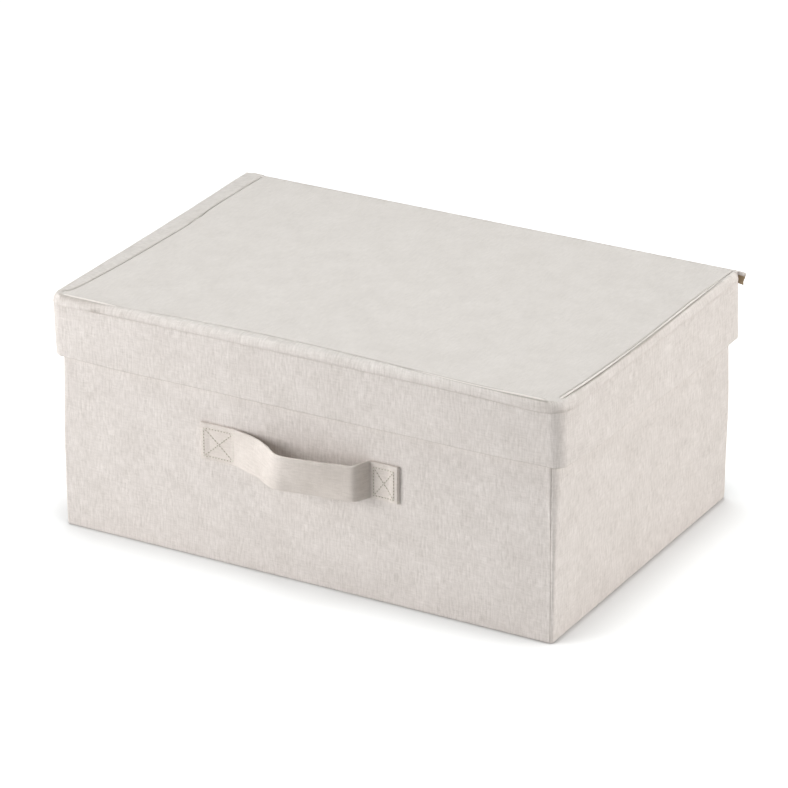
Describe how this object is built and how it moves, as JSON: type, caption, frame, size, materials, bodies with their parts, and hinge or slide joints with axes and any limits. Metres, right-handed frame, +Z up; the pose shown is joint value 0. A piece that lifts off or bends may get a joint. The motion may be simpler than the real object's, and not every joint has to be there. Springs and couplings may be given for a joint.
{
  "type": "fabric storage box with lid",
  "caption": "Rectangular cloth-covered storage box with a hinged deep-skirted lid, a sewn strap handle on the front and a loose floor board.",
  "frame": {"origin": "middle of the underside of the box, on the surface it stands on", "axes": "+X along the long side, to the right seen from the front; -Y towards the front with the handle; +Z up"},
  "size_m": [0.455, 0.3267, 0.1987],
  "materials": {
    "linen": "matte undyed linen-look plain weave",
    "lining_cloth": "matte non-woven lining cloth",
    "greyboard": "matte grey-brown board",
    "webbing": "matte doubled cloth strap",
    "thread": "matte cotton sewing thread"
  },
  "bodies": {
    "box": {"base_cover": "linen", "base_lining": "lining_cloth", "front_cover": "linen", "back_cover": "linen", "left_cover": "linen", "right_cover": "linen", "front_board": "greyboard", "back_board": "greyboard", "left_board": "greyboard", "right_board": "greyboard", "front_lining": "lining_cloth", "back_lining": "lining_cloth", "left_lining": "lining_cloth", "right_lining": "lining_cloth", "front_rim_binding": "linen", "back_rim_binding": "linen", "left_rim_binding": "linen", "right_rim_binding": "linen", "handle_left_end": "webbing", "handle_right_end": "webbing", "handle_left_stitching": "thread", "handle_right_stitching": "thread"},
    "floor_board": {"floor_board_underside": "lining_cloth", "floor_board_core": "greyboard", "floor_board_top": "lining_cloth"},
    "handle": {"handle_grip": "webbing"},
    "flap": {"hinge_flap": "linen"},
    "lid": {"lid_lining": "lining_cloth", "lid_board": "greyboard", "lid_cover": "linen", "skirt_front_cover": "linen", "skirt_front_board": "greyboard", "skirt_front_lining": "lining_cloth", "skirt_front_hem": "linen", "skirt_left_cover": "linen", "skirt_left_board": "greyboard", "skirt_left_lining": "lining_cloth", "skirt_left_hem": "linen", "skirt_right_cover": "linen", "skirt_right_board": "greyboard", "skirt_right_lining": "lining_cloth", "skirt_right_hem": "linen", "rolled_edge_front": "linen", "rolled_edge_left": "linen", "rolled_edge_right": "linen"}
  },
  "joints": [
    {"name": "flap_hinge", "type": "hinge", "parent": "box", "child": "flap", "pos_m": [0, 0.1505, 0.1877], "axis": [-1, 0, 0], "range_deg": [0, 108]},
    {"name": "lid_hinge", "type": "hinge", "parent": "flap", "child": "lid", "pos_m": [0, 0.1505, 0.1987], "axis": [-1, 0, 0], "range_deg": [0, 108]},
    {"name": "floor_board_lift", "type": "slide", "parent": "box", "child": "floor_board", "axis": [0, 0, 1], "range_m": [0, 0.18]},
    {"name": "handle_swing", "type": "hinge", "parent": "box", "child": "handle", "pos_m": [0, -0.1503, 0.101], "axis": [-1, 0, 0], "range_deg": [-35, 35]}
  ],
  "couplings": [
    {"joint": "lid_hinge", "follows": "flap_hinge", "ratio": 1}
  ]
}
